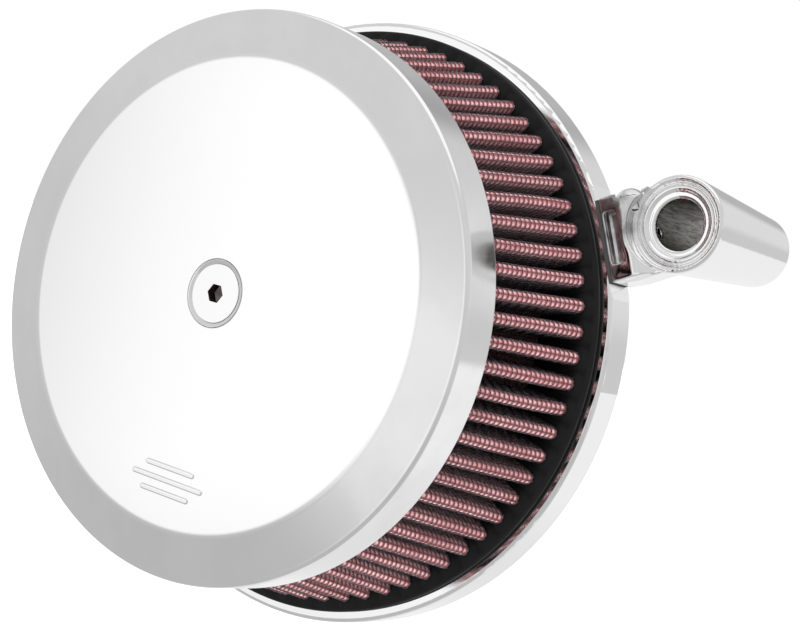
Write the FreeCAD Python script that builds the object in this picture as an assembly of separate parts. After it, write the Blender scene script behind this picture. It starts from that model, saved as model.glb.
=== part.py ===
"""Round conical air filter assembly for a V-twin motorcycle, in millimetres.

The intake axis runs along Y. The rear face of the back plate lies at Y = 0, the
engine is towards +Y and the polished cover faces -Y. Z is up. The origin is the
centre of the intake bore on the rear face of the back plate.
"""
import FreeCAD, Part
import math
import os

# ---- driving dimensions -------------------------------------------------------
PLATE_RADIUS = 89.0
PLATE_THICKNESS = 11.5
PLATE_EDGE = 1.2
PLATE_SKIN = 4.0
RIM_WALL = 5.0
HUB_RADIUS = 57.0
RIB_HALF_WIDTH = 2.5
DRILLED_RIB_HALF_WIDTH = 4.2
LOCATING_RING_OUTER = 57.4
LOCATING_RING_INNER = 55.8
LOCATING_RING_HEIGHT = 2.0
INTAKE_RADIUS = 25.0
MOUTH_SEAT_RADIUS = 28.0
MOUTH_SEAT_Y = -5.0
MOUTH_LIP_RADIUS = 33.5
MOUTH_HEIGHT = 8.5

COVER_RADIUS = 79.0
COVER_WALL = 3.0
COVER_BACK = -55.3
COVER_RIM_FRONT = -68.8
COVER_FRONT = -71.4
DISC_RADIUS = 65.5
COVER_INSIDE = -66.5
COVER_EDGE = 1.3
DISC_STEP = 0.26
COVER_LIP_OUTER = 57.4
COVER_LIP_INNER = 55.0
COVER_LIP_HEIGHT = 3.0
COVER_RECESS = 3.2
COVER_BOSS_RADIUS = 14.0
BADGE_HEIGHT = 0.35
BADGE_BARS = ((-49.0, 16.0), (-52.5, 24.0), (-56.0, 16.0))
BADGE_HALF_WIDTH = 0.8

PLEAT_COUNT = 72
CREST_RADIUS = 83.3
PLEAT_DEPTH = 14.0
CREST_HALF_WIDTH = 2.35
GAP_HALF_WIDTH = 0.7
FRONT_SCALE = 0.88
MESH_THICKNESS = 0.4
MEDIA_THICKNESS = 1.2
MEDIA_FRONT = -60.3
REAR_CAP_RADIUS = 85.9
REAR_CAP_THICKNESS = 3.0
FRONT_CAP_RADIUS = 75.0
FRONT_CAP_THICKNESS = 5.2
CAP_HOLE_RADIUS = 58.0
SEAL_OUTER = 74.0
SEAL_INNER = 60.0

THREAD_RADIUS = 3.97
SCREW_HEAD_RADIUS = 8.1
SCREW_LENGTH = 38.1
SCREW_HEAD_FRONT = -71.05
HEAD_SLOPE = math.tan(math.radians(41.0))
HEX_SOCKET = 4.76
SOCKET_DEPTH = 3.2
SCREW_POINT = 1.0
WASHER_RADIUS = 9.3
WASHER_HEIGHT = 4.8
DISH_RADIUS = 9.1
DISH_FRONT = -71.3
DISH_DEPTH = 0.5
DISH_INNER = 8.0
RUNNING_GAP = 0.05

BRIDGE_WIDTH = 14.0
BRIDGE_STOCK = 4.0
BRIDGE_FRONT = -46.0
BRIDGE_LEG = 44.0
BRIDGE_FOOT = 55.0
BRIDGE_SCREW_X = 49.0
BRIDGE_CORNER = 3.0
BRIDGE_THREAD = 2.5
BRIDGE_HEAD = 4.75
BOSS_RADIUS = 8.0
BOSS_FRONT = -50.0
BOSS_BACK = -36.0

BOLT_CIRCLE = 38.0
BOLT_ANGLES = (90.0, 210.0, 330.0)
THROTTLE_THREAD = 3.175
THROTTLE_SHANK = 2.85
THROTTLE_SCREW_REACH = 14.0
THROTTLE_HEAD = 6.2
THROTTLE_HOLE = 3.4
THROTTLE_SINK = 6.3
GASKET_THICKNESS = 1.2
GASKET_RADIUS = 33.0
GASKET_LOBE = 8.0

ARM_ANGLE = 27.0
ARM_REACH = 108.0
ARM_BORE = 7.0
BORE_CHAMFER = 0.6
EAR_RADIUS = 13.5
EAR_FRONT = -6.8
SEAT_RADIUS = 9.2
SEAT_DEPTH = 1.4
RAISED_RING_RADIUS = 9.6
RAISED_RING_DEPTH = 0.7
CHANNEL_INNER = 10.75
CHANNEL_OUTER = 11.9
CHANNEL_DEPTH = 1.8
STANDOFF_BACK = 46.8
STANDOFF_RADIUS = 10.5
STANDOFF_EDGE = 0.7
GROOVE_OUTER = 9.4
GROOVE_INNER = 7.9
GROOVE_DEPTH = 1.4
SEAL_RING_RADIUS = 8.65
SEAL_CORD_RADIUS = 0.7
ARM_PAD = 87.5
ARM_GASKET = 0.8
FLANGE_DEPTH = 7.0
FLANGE_HALF_WIDTH = 12.0
FLANGE_FRONT = -11.2
WEB_FRONT = -8.5
ARM_SCREW_RADIUS = 2.0
ARM_SCREW_HEAD = 3.5
ARM_SCREW_OFFSET = 8.6
ARM_SCREW_Y = -3.75
ARM_SCREW_LENGTH = 8.2
PLUG_REACH = 95.7
PLUG_Y = -6.6
PLUG_SEAT = 10.5
PLUG_RADIUS = 2.2
PLUG_SHANK_END = 7.0
COLUMN_RADIUS = 4.4
PASSAGE_RADIUS = 1.3
PASSAGE_Y = -2.6
VAPOUR_PORT = 50.0
VAPOUR_PORT_RADIUS = 3.0

PLATE_FRONT = -PLATE_THICKNESS
POCKET_FRONT = PLATE_FRONT + PLATE_SKIN
MEDIA_BACK = PLATE_FRONT - REAR_CAP_THICKNESS
ORIGIN = FreeCAD.Vector(0, 0, 0)
AXIS = FreeCAD.Vector(0, 1, 0)


# ---- helpers ------------------------------------------------------------------
def vec(x, y, z):
    return FreeCAD.Vector(x, y, z)


def rod(radius, front, back, x=0.0, z=0.0):
    """A cylinder along Y from front to back."""
    return Part.makeCylinder(radius, back - front, vec(x, front, z), AXIS)


def ring(outer, inner, front, back, x=0.0, z=0.0):
    return rod(outer, front, back, x, z).cut(rod(inner, front - 1, back + 1, x, z))


def cone(front_radius, back_radius, front, back, x=0.0, z=0.0):
    return Part.makeCone(front_radius, back_radius, back - front, vec(x, front, z), AXIS)


def block(low, high):
    """A box between two corners."""
    return Part.makeBox(high[0] - low[0], high[1] - low[1], high[2] - low[2], vec(*low))


def turned(edges):
    """Turn a closed profile of edges in the XY plane round the Y axis."""
    face = Part.Face(Part.Wire(edges))
    return face.revolve(ORIGIN, AXIS, 360)


def line(a, b):
    return Part.LineSegment(vec(a[0], a[1], 0), vec(b[0], b[1], 0)).toShape()


def arc(a, middle, b):
    return Part.Arc(vec(a[0], a[1], 0), vec(middle[0], middle[1], 0), vec(b[0], b[1], 0)).toShape()


def polygon(points):
    return [line(points[i - 1], points[i]) for i in range(len(points))]


def hex_prism(across_flats, front, back, x=0.0, z=0.0):
    corner = across_flats / math.sqrt(3)
    points = []
    for i in range(7):
        turn = math.radians(60 * i)
        points.append(vec(x + corner * math.cos(turn), front, z + corner * math.sin(turn)))
    return Part.Face(Part.makePolygon(points)).extrude(vec(0, back - front, 0))


def polar(radius, degrees):
    return radius * math.cos(math.radians(degrees)), radius * math.sin(math.radians(degrees))


def on_arm(shape, side):
    """Carry a shape modelled along +X out to the right (+1) or left (-1) arm."""
    placed = shape.copy()
    placed.rotate(ORIGIN, AXIS, -ARM_ANGLE)
    if side < 0:
        placed = placed.mirror(ORIGIN, vec(1, 0, 0))
    return placed


def radial_rod(radius, start, end, y, z=0.0):
    """A cylinder along X, before it is carried to an arm."""
    return Part.makeCylinder(radius, end - start, vec(start, y, z), vec(1, 0, 0))


def upright(radius, low, high):
    """A cylinder along Z on the line of the cross-drilling plug."""
    return Part.makeCylinder(radius, high - low, vec(PLUG_REACH, PLUG_Y, low), vec(0, 0, 1))


def save(name, shape):
    shape.exportStep(os.path.join("parts", name + ".step"))


# ---- back plate and what is fixed to it ------------------------------------------
def plate_blank():
    edge = PLATE_EDGE
    radius = PLATE_RADIUS
    bend = edge * (1 - math.sqrt(0.5))
    front = PLATE_FRONT
    return turned([
        line((0, front), (radius - edge, front)),
        arc((radius - edge, front), (radius - bend, front + bend), (radius, front + edge)),
        line((radius, front + edge), (radius, -edge)),
        arc((radius, -edge), (radius - bend, -bend), (radius - edge, 0)),
        line((radius - edge, 0), (0, 0)),
        line((0, 0), (0, front)),
    ])


def plate_pocket():
    """The rear pocket, crossed by the plain ribs and the two drilled ribs."""
    pocket = ring(PLATE_RADIUS - RIM_WALL, HUB_RADIUS, POCKET_FRONT, 1)
    for angle in BOLT_ANGLES:
        rib = block((0, POCKET_FRONT - 1, -RIB_HALF_WIDTH), (PLATE_RADIUS, 2, RIB_HALF_WIDTH))
        rib.rotate(ORIGIN, AXIS, -angle)
        pocket = pocket.cut(rib)
    for side in (1, -1):
        low = (0, POCKET_FRONT - 1, -DRILLED_RIB_HALF_WIDTH)
        drilled_rib = block(low, (PLATE_RADIUS, 2, DRILLED_RIB_HALF_WIDTH))
        pocket = pocket.cut(on_arm(drilled_rib, side))
    return pocket


def arm_cuts(side):
    """The flat pad, drilled passage, vapour port and screw holes of one arm."""
    pad = block((ARM_PAD, PLATE_FRONT - 1, -30), (PLATE_RADIUS + 5, 1, 30))
    passage = radial_rod(PASSAGE_RADIUS, VAPOUR_PORT, PLATE_RADIUS, PASSAGE_Y)
    port = rod(VAPOUR_PORT_RADIUS, PLATE_FRONT - 1, PASSAGE_Y, VAPOUR_PORT, 0)
    cuts = pad.fuse([passage, port])
    for offset in (-ARM_SCREW_OFFSET, ARM_SCREW_OFFSET):
        start = PLATE_RADIUS - RIM_WALL - 3
        hole = radial_rod(ARM_SCREW_RADIUS + 0.1, start, PLATE_RADIUS, ARM_SCREW_Y, offset)
        cuts = cuts.fuse(hole)
    return on_arm(cuts, side)


def back_plate():
    plate = plate_blank().cut(plate_pocket())
    ring_front = PLATE_FRONT - LOCATING_RING_HEIGHT
    plate = plate.fuse(ring(LOCATING_RING_OUTER, LOCATING_RING_INNER, ring_front, PLATE_FRONT + 0.5))
    plate = plate.cut(rod(INTAKE_RADIUS, PLATE_FRONT - 1, 1))
    plate = plate.cut(rod(MOUTH_SEAT_RADIUS, PLATE_FRONT - 1, MOUTH_SEAT_Y))
    sink_back = PLATE_FRONT + (THROTTLE_SINK - THROTTLE_HOLE) / HEAD_SLOPE
    for angle in BOLT_ANGLES:
        x, z = polar(BOLT_CIRCLE, angle)
        plate = plate.cut(rod(THROTTLE_HOLE, PLATE_FRONT - 1, 1, x, z))
        plate = plate.cut(cone(THROTTLE_SINK, THROTTLE_HOLE, PLATE_FRONT, sink_back, x, z))
    for x in (-BRIDGE_SCREW_X, BRIDGE_SCREW_X):
        plate = plate.cut(rod(BRIDGE_THREAD + RUNNING_GAP, PLATE_FRONT - 1, -2.5, x, 0))
    for side in (1, -1):
        plate = plate.cut(arm_cuts(side))
    return plate


def velocity_ring():
    """Flared intake mouth, pressed into the counterbore of the plate."""
    lip = MOUTH_LIP_RADIUS
    mouth = PLATE_FRONT - MOUTH_HEIGHT
    throat = PLATE_FRONT - 1.0
    inside = INTAKE_RADIUS
    seat = MOUTH_SEAT_RADIUS
    waist = seat + 3.0
    return turned([
        line((inside, MOUTH_SEAT_Y), (seat, MOUTH_SEAT_Y)),
        line((seat, MOUTH_SEAT_Y), (seat, PLATE_FRONT)),
        line((seat, PLATE_FRONT), (waist, PLATE_FRONT)),
        arc((waist, PLATE_FRONT), (waist + 0.4, PLATE_FRONT - 4.5), (lip, mouth + 1.0)),
        arc((lip, mouth + 1.0), (lip - 0.1, mouth), (lip - 1.0, mouth)),
        arc((lip - 1.0, mouth), (27.1, throat - 4.0), (inside, throat)),
        line((inside, throat), (inside, MOUTH_SEAT_Y)),
    ])


def throttle_gasket():
    gasket = rod(GASKET_RADIUS, 0, GASKET_THICKNESS)
    for angle in BOLT_ANGLES:
        gasket = gasket.fuse(rod(GASKET_LOBE, 0, GASKET_THICKNESS, *polar(BOLT_CIRCLE, angle)))
    gasket = gasket.cut(rod(INTAKE_RADIUS + 0.6, -1, GASKET_THICKNESS + 1))
    for angle in BOLT_ANGLES:
        x, z = polar(BOLT_CIRCLE, angle)
        gasket = gasket.cut(rod(THROTTLE_HOLE + 0.2, -1, GASKET_THICKNESS + 1, x, z))
    return gasket


def throttle_screws():
    """Flat-head screws whose threads stand out behind the gasket."""
    screws = []
    head_back = PLATE_FRONT + (THROTTLE_HEAD - THROTTLE_SHANK) / HEAD_SLOPE
    thread_start = GASKET_THICKNESS + 0.4
    thread_end = THROTTLE_SCREW_REACH - 0.8
    for angle in BOLT_ANGLES:
        x, z = polar(BOLT_CIRCLE, angle)
        screw = cone(THROTTLE_HEAD, THROTTLE_SHANK, PLATE_FRONT, head_back, x, z)
        screw = screw.fuse(rod(THROTTLE_SHANK, head_back, thread_start, x, z))
        screw = screw.fuse(rod(THROTTLE_THREAD, thread_start, thread_end, x, z))
        screw = screw.fuse(cone(THROTTLE_THREAD, 2.4, thread_end, THROTTLE_SCREW_REACH, x, z))
        screws.append(screw.cut(hex_prism(4.0, PLATE_FRONT - 1, PLATE_FRONT + 2.4, x, z)))
    return Part.makeCompound(screws)


def support_bridge():
    """Hat-shaped bar across the intake, with the threaded boss for the cover screw."""
    inner_leg = BRIDGE_LEG - BRIDGE_STOCK
    foot_front = PLATE_FRONT - BRIDGE_STOCK
    bar_back = BRIDGE_FRONT + BRIDGE_STOCK
    right = [
        (BRIDGE_LEG, BRIDGE_FRONT),
        (BRIDGE_LEG, foot_front),
        (BRIDGE_FOOT, foot_front),
        (BRIDGE_FOOT, PLATE_FRONT),
        (inner_leg, PLATE_FRONT),
        (inner_leg, bar_back),
    ]
    left = [(-x, y) for x, y in reversed(right)]
    face = Part.Face(Part.Wire(polygon(right + left)))
    bar = face.extrude(vec(0, 0, BRIDGE_WIDTH))
    bar.translate(vec(0, 0, -BRIDGE_WIDTH / 2))
    corners = []
    for edge in bar.Edges:
        at = edge.CenterOfMass
        if abs(at.z) < 0.01 and abs(abs(at.x) - BRIDGE_LEG) < 0.01 and at.y < foot_front - 1:
            corners.append(edge)
    bar = bar.makeFillet(BRIDGE_CORNER, corners)
    bar = bar.fuse(rod(BOSS_RADIUS, BOSS_FRONT, BOSS_BACK)).removeSplitter()
    bar = bar.cut(rod(THREAD_RADIUS + RUNNING_GAP, BOSS_FRONT - 1, BOSS_BACK + 1))
    for x in (-BRIDGE_SCREW_X, BRIDGE_SCREW_X):
        bar = bar.cut(rod(BRIDGE_THREAD + 0.2, foot_front - 1, PLATE_FRONT + 1, x, 0))
    return bar


def bridge_screws():
    screws = []
    seat = PLATE_FRONT - BRIDGE_STOCK
    for x in (-BRIDGE_SCREW_X, BRIDGE_SCREW_X):
        head = cone(BRIDGE_HEAD - 1.35, BRIDGE_HEAD, seat - 2.75, seat - 1.0, x, 0)
        head = head.fuse(rod(BRIDGE_HEAD, seat - 1.0, seat, x, 0))
        head = head.cut(hex_prism(3.0, seat - 3, seat - 1.2, x, 0))
        screws.append(head.fuse(rod(BRIDGE_THREAD, seat, -3.0, x, 0)))
    return Part.makeCompound(screws)


# ---- breather arms ----------------------------------------------------------------
def ear_profile():
    """Cup, bolt seat and tapered standoff, turned about the bore."""
    rim = EAR_RADIUS
    end = STANDOFF_RADIUS
    back = STANDOFF_BACK
    seat = EAR_FRONT + SEAT_DEPTH
    step = EAR_FRONT + RAISED_RING_DEPTH
    floor = EAR_FRONT + CHANNEL_DEPTH
    lip = EAR_FRONT + 0.3
    mouth = (ARM_BORE, seat + BORE_CHAMFER)
    edge = STANDOFF_EDGE
    return [
        line(mouth, (ARM_BORE + BORE_CHAMFER, seat)),
        line((ARM_BORE + BORE_CHAMFER, seat), (SEAT_RADIUS, seat)),
        line((SEAT_RADIUS, seat), (RAISED_RING_RADIUS, step)),
        line((RAISED_RING_RADIUS, step), (CHANNEL_INNER, step)),
        line((CHANNEL_INNER, step), (CHANNEL_INNER, floor)),
        line((CHANNEL_INNER, floor), (CHANNEL_OUTER, floor)),
        line((CHANNEL_OUTER, floor), (CHANNEL_OUTER, lip)),
        arc((CHANNEL_OUTER, lip), (rim - 0.8, EAR_FRONT), (rim, EAR_FRONT + 0.8)),
        line((rim, EAR_FRONT + 0.8), (end, back - edge)),
        arc((end, back - edge), (end - 0.3 * edge, back - 0.3 * edge), (end - edge, back)),
        line((end - edge, back), (ARM_BORE, back)),
        line((ARM_BORE, back), mouth),
    ]


def arm_web():
    """Flat web from the flange to the ear, wider below than above."""
    face = ARM_PAD + ARM_GASKET
    outline = [
        (face, -FLANGE_HALF_WIDTH),
        (face + 6, -12.6),
        (ARM_REACH - 4, -12.3),
        (ARM_REACH - 4, 12.3),
        (face + 12, 11.8),
        (face + 6, 10.0),
        (face, FLANGE_HALF_WIDTH),
    ]
    points = [vec(x, WEB_FRONT, z) for x, z in outline]
    points.append(points[0])
    return Part.Face(Part.makePolygon(points)).extrude(vec(0, -WEB_FRONT, 0))


def breather_arm(side):
    face = ARM_PAD + ARM_GASKET
    low = (face, FLANGE_FRONT, -FLANGE_HALF_WIDTH)
    flange = block(low, (face + FLANGE_DEPTH, 0, FLANGE_HALF_WIDTH))
    column = upright(COLUMN_RADIUS, -FLANGE_HALF_WIDTH, PLUG_SEAT)
    arm = flange.fuse([arm_web(), column])
    arm = arm.cut(rod(EAR_RADIUS - 0.4, -12, 1, ARM_REACH, 0))
    ear = turned(ear_profile())
    ear.translate(vec(ARM_REACH, 0, 0))
    arm = arm.fuse(ear)
    pocket = block((face + 0.9, -12, -7.0), (face + 4.4, -8.2, 7.5))
    arm = arm.cut(pocket)
    arm = arm.cut(radial_rod(PASSAGE_RADIUS, face - 1, ARM_REACH, PASSAGE_Y))
    for offset in (-ARM_SCREW_OFFSET, ARM_SCREW_OFFSET):
        hole = radial_rod(ARM_SCREW_RADIUS + RUNNING_GAP, face - 1, face + 4.5, ARM_SCREW_Y, offset)
        arm = arm.cut(hole)
    arm = arm.cut(upright(PLUG_RADIUS + RUNNING_GAP, PLUG_SHANK_END - 0.1, 20.0))
    arm = arm.cut(upright(COLUMN_RADIUS + 0.3, PLUG_SEAT, 20.0))
    arm = arm.cut(ring_groove())
    return on_arm(arm.removeSplitter(), side)


def ring_groove():
    """Seal groove in the rear face of a standoff."""
    return ring(GROOVE_OUTER, GROOVE_INNER, STANDOFF_BACK - GROOVE_DEPTH, STANDOFF_BACK + 1, ARM_REACH, 0)


def standoff_seal(side):
    centre = vec(ARM_REACH, STANDOFF_BACK - 0.5, 0)
    seal = Part.makeTorus(SEAL_RING_RADIUS, SEAL_CORD_RADIUS, centre, AXIS)
    return on_arm(seal, side)


def arm_plug(side):
    """Domed threaded plug in the top of the cross-drilling."""
    shank = upright(PLUG_RADIUS, PLUG_SHANK_END, PLUG_SEAT)
    dome = Part.makeSphere(COLUMN_RADIUS, vec(PLUG_REACH, PLUG_Y, PLUG_SEAT - 1.5))
    dome = dome.common(upright(10.0, PLUG_SEAT, 20.0))
    return on_arm(shank.fuse(dome).cut(upright(1.7, 12.0, 16.0)), side)


def arm_gasket(side):
    low = (ARM_PAD, -11.0, -FLANGE_HALF_WIDTH + 0.4)
    high = (ARM_PAD + ARM_GASKET, -0.5, FLANGE_HALF_WIDTH - 0.4)
    gasket = block(low, high).cut(radial_rod(PASSAGE_RADIUS + 0.4, ARM_PAD - 1, ARM_PAD + 2, PASSAGE_Y))
    for offset in (-ARM_SCREW_OFFSET, ARM_SCREW_OFFSET):
        gasket = gasket.cut(radial_rod(2.2, ARM_PAD - 1, ARM_PAD + 2, ARM_SCREW_Y, offset))
    return on_arm(gasket, side)


def arm_screws():
    seat = PLATE_RADIUS - RIM_WALL
    screws = []
    for side in (1, -1):
        for offset in (-ARM_SCREW_OFFSET, ARM_SCREW_OFFSET):
            flat = math.sqrt(seat ** 2 - (abs(offset) + ARM_SCREW_HEAD) ** 2)
            head = radial_rod(ARM_SCREW_HEAD, flat - 4, flat, ARM_SCREW_Y, offset)
            socket = hex_prism(3.0, 0, 2.2)
            socket.rotate(ORIGIN, vec(0, 0, 1), -90)
            socket.translate(vec(flat - 4.1, ARM_SCREW_Y, offset))
            shank = radial_rod(ARM_SCREW_RADIUS, flat, flat + ARM_SCREW_LENGTH, ARM_SCREW_Y, offset)
            screws.append(on_arm(head.cut(socket).fuse(shank), side))
    return Part.makeCompound(screws)


# ---- filter element ------------------------------------------------------------------
def pleat_wire(y, scale, inset):
    """Closed outline of all pleats at height y, inset from the outermost surface."""
    pitch = 360.0 / PLEAT_COUNT
    crest = CREST_RADIUS - inset
    valley = CREST_RADIUS - PLEAT_DEPTH - inset
    crest_turn = math.degrees(math.atan((CREST_HALF_WIDTH - inset) / crest))
    gap_turn = math.degrees(math.atan((GAP_HALF_WIDTH + inset) / valley))
    points = []
    for i in range(PLEAT_COUNT):
        middle = pitch * i
        between = middle + pitch / 2
        for radius, angle in (
            (crest, middle - crest_turn),
            (crest, middle + crest_turn),
            (valley, between - gap_turn),
            (valley, between + gap_turn),
        ):
            x, z = polar(radius * scale, angle)
            points.append(vec(x, y, z))
    points.append(points[0])
    return Part.makePolygon(points)


def pleat_body(inset):
    """Solid out to one pleated surface, tapering towards the cover."""
    back = pleat_wire(MEDIA_BACK, 1.0, inset)
    front = pleat_wire(MEDIA_FRONT, FRONT_SCALE, inset)
    return Part.makeLoft([back, front], True, True)


def pleated_layer(outer_inset, inner_inset):
    return pleat_body(outer_inset).cut(pleat_body(inner_inset))


def rear_end_cap():
    return ring(REAR_CAP_RADIUS, CAP_HOLE_RADIUS, MEDIA_BACK, PLATE_FRONT)


def front_end_cap():
    front = MEDIA_FRONT - FRONT_CAP_THICKNESS
    return ring(FRONT_CAP_RADIUS, CAP_HOLE_RADIUS, front, MEDIA_FRONT)


# ---- cover and its screw ---------------------------------------------------------------
def front_cover():
    edge = COVER_EDGE
    bend = edge * (1 - math.sqrt(0.5))
    rim = COVER_RADIUS
    inner = rim - COVER_WALL
    step_start = (DISC_RADIUS - 1.0, COVER_FRONT)
    step_middle = (DISC_RADIUS, COVER_FRONT + 0.27 * DISC_STEP)
    step_end = (DISC_RADIUS + 1.0, COVER_FRONT + DISC_STEP)
    lip_back = COVER_INSIDE + COVER_LIP_HEIGHT
    recess = COVER_FRONT + COVER_RECESS
    boss_back = SCREW_HEAD_FRONT + WASHER_HEIGHT + 3.0
    shell = turned([
        line((0, COVER_FRONT), step_start),
        arc(step_start, step_middle, step_end),
        line(step_end, (rim - edge, COVER_RIM_FRONT)),
        arc((rim - edge, COVER_RIM_FRONT), (rim - bend, COVER_RIM_FRONT + bend),
            (rim, COVER_RIM_FRONT + edge)),
        line((rim, COVER_RIM_FRONT + edge), (rim, COVER_BACK - 0.4)),
        line((rim, COVER_BACK - 0.4), (rim - 0.4, COVER_BACK)),
        line((rim - 0.4, COVER_BACK), (inner, COVER_BACK)),
        line((inner, COVER_BACK), (inner, COVER_INSIDE)),
        line((inner, COVER_INSIDE), (COVER_LIP_OUTER, COVER_INSIDE)),
        line((COVER_LIP_OUTER, COVER_INSIDE), (COVER_LIP_OUTER, lip_back)),
        line((COVER_LIP_OUTER, lip_back), (COVER_LIP_INNER, lip_back)),
        line((COVER_LIP_INNER, lip_back), (COVER_LIP_INNER, recess)),
        line((COVER_LIP_INNER, recess), (COVER_BOSS_RADIUS, recess)),
        line((COVER_BOSS_RADIUS, recess), (COVER_BOSS_RADIUS, boss_back)),
        line((COVER_BOSS_RADIUS, boss_back), (0, boss_back)),
        line((0, boss_back), (0, COVER_FRONT)),
    ])
    shell = shell.cut(rod(WASHER_RADIUS + 0.1, COVER_FRONT - 1, SCREW_HEAD_FRONT + WASHER_HEIGHT))
    return shell.cut(rod(THREAD_RADIUS + 0.25, COVER_FRONT - 1, boss_back + 1))


def cover_badge():
    """Plain raised badge: three slim bars, the middle one longest."""
    bars = []
    front = COVER_FRONT - BADGE_HEIGHT
    half = BADGE_HALF_WIDTH
    for z, length in BADGE_BARS:
        middle = block((-length / 2, front, z - half), (length / 2, COVER_FRONT, z + half))
        for x in (-length / 2, length / 2):
            middle = middle.fuse(rod(half, front, COVER_FRONT, x, z))
        bars.append(middle.removeSplitter())
    return Part.makeCompound(bars)


def cover_seal():
    back = MEDIA_FRONT - FRONT_CAP_THICKNESS - RUNNING_GAP
    return ring(SEAL_OUTER, SEAL_INNER, COVER_INSIDE, back)


def screw_cup_washer():
    """Cup for the screw's head, with a shallow dish round the top of its seat."""
    back = SCREW_HEAD_FRONT + WASHER_HEIGHT
    washer = rod(WASHER_RADIUS, DISH_FRONT, back)
    washer = washer.cut(cone(DISH_RADIUS, DISH_INNER, DISH_FRONT, DISH_FRONT + DISH_DEPTH))
    front_radius = SCREW_HEAD_RADIUS + 0.12
    back_radius = front_radius - WASHER_HEIGHT * HEAD_SLOPE
    seat = cone(front_radius, back_radius, SCREW_HEAD_FRONT, back)
    return washer.cut(seat)


def cover_screw():
    head_back = SCREW_HEAD_FRONT + (SCREW_HEAD_RADIUS - THREAD_RADIUS) / HEAD_SLOPE
    tip = SCREW_HEAD_FRONT + SCREW_LENGTH
    screw = cone(SCREW_HEAD_RADIUS, THREAD_RADIUS, SCREW_HEAD_FRONT, head_back)
    screw = screw.fuse(rod(THREAD_RADIUS, head_back, tip - SCREW_POINT))
    screw = screw.fuse(cone(THREAD_RADIUS, THREAD_RADIUS - SCREW_POINT, tip - SCREW_POINT, tip))
    return screw.cut(hex_prism(HEX_SOCKET, SCREW_HEAD_FRONT - 1, SCREW_HEAD_FRONT + SOCKET_DEPTH))


# ---- assembly ------------------------------------------------------------------------
def main():
    os.makedirs("parts", exist_ok=True)
    save("back_plate", back_plate())
    save("velocity_ring", velocity_ring())
    save("throttle_gasket", throttle_gasket())
    save("throttle_screws", throttle_screws())
    save("support_bridge", support_bridge())
    save("bridge_screws", bridge_screws())
    for name, side in (("right", 1), ("left", -1)):
        save(name + "_breather_arm", breather_arm(side))
        save(name + "_standoff_seal", standoff_seal(side))
        save(name + "_arm_plug", arm_plug(side))
        save(name + "_arm_gasket", arm_gasket(side))
    save("arm_screws", arm_screws())
    mesh = MESH_THICKNESS
    media = MEDIA_THICKNESS
    save("outer_mesh", pleated_layer(0.0, mesh))
    save("filter_media", pleated_layer(mesh, mesh + media))
    save("inner_mesh", pleated_layer(mesh + media, 2 * mesh + media))
    save("rear_end_cap", rear_end_cap())
    save("front_end_cap", front_end_cap())
    save("front_cover", front_cover())
    save("cover_badge", cover_badge())
    save("cover_seal", cover_seal())
    save("screw_cup_washer", screw_cup_washer())
    save("cover_screw", cover_screw())


main()
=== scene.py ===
"""Looks of the round pleated air filter: wire cloth, oiled cotton, rubber caps, castings,
threads and finishes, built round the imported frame. All lengths are in metres.

The intake axis runs along Y, the cover faces -Y and Z is up.
"""
import math

import bpy
import numpy as np
from mathutils import Matrix, Vector


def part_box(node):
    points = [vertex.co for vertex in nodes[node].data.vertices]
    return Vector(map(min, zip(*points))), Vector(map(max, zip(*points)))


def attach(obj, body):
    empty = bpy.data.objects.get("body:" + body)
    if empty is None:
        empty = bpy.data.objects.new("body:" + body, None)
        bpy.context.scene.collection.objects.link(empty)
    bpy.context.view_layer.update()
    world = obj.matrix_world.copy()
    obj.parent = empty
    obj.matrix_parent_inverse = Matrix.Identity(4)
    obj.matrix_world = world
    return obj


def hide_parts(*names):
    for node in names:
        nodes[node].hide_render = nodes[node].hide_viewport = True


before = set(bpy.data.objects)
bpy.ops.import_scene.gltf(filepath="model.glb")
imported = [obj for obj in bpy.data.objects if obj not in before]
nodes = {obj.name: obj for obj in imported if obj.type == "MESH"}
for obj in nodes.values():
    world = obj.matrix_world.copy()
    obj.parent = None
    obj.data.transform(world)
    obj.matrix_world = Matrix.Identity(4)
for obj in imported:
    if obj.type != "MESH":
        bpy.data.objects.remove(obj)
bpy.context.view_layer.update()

MM = 0.001

# ---- sizes read from the frame
cloth_low, cloth_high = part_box("outer_mesh")
rear_cap_low, rear_cap_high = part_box("rear_end_cap")
front_cap_low, front_cap_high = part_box("front_end_cap")
screw_low, screw_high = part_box("cover_screw")
seal_low, seal_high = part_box("right_standoff_seal")
plate_low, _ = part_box("back_plate")
badge_low, badge_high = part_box("cover_badge")
throttle_low, throttle_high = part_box("throttle_screws")
cover_low, cover_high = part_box("front_cover")
washer_low, washer_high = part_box("screw_cup_washer")

# ---- the element
CREST_RADIUS = cloth_high.x
MEDIA_BACK = cloth_high.y
MEDIA_FRONT = cloth_low.y
FRONT_SCALE = 0.88
PLEAT_COUNT = 72
PLEAT_PITCH = 2 * math.pi / PLEAT_COUNT
PLEAT_DEPTH = 14.0 * MM
CREST_BEND = 2.15 * MM
VALLEY_BEND = 0.9 * MM
CAP_HOLE_RADIUS = 58.0 * MM

WIRE_RADIUS = 0.12 * MM
WIRE_DIP = 0.11 * MM
COTTON_SWELL = 0.16 * MM
FLANK_HALF_WIDTH = 2.05 * MM
CLOTH_INSET = 0.27 * MM
MEDIA_INSET = 0.55 * MM
MEDIA_THICKNESS = 1.1 * MM
CELLS_PER_PLEAT = 16
CELL_ROWS = 25
INNER_CELLS = 12
INNER_ROWS = 15
SECTORS = 6
OUTLINE_STEPS = 200
LINING_STEP = 4
LEAN_SPREAD = 0.0032
BOW_SPREAD = 0.0014

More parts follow.
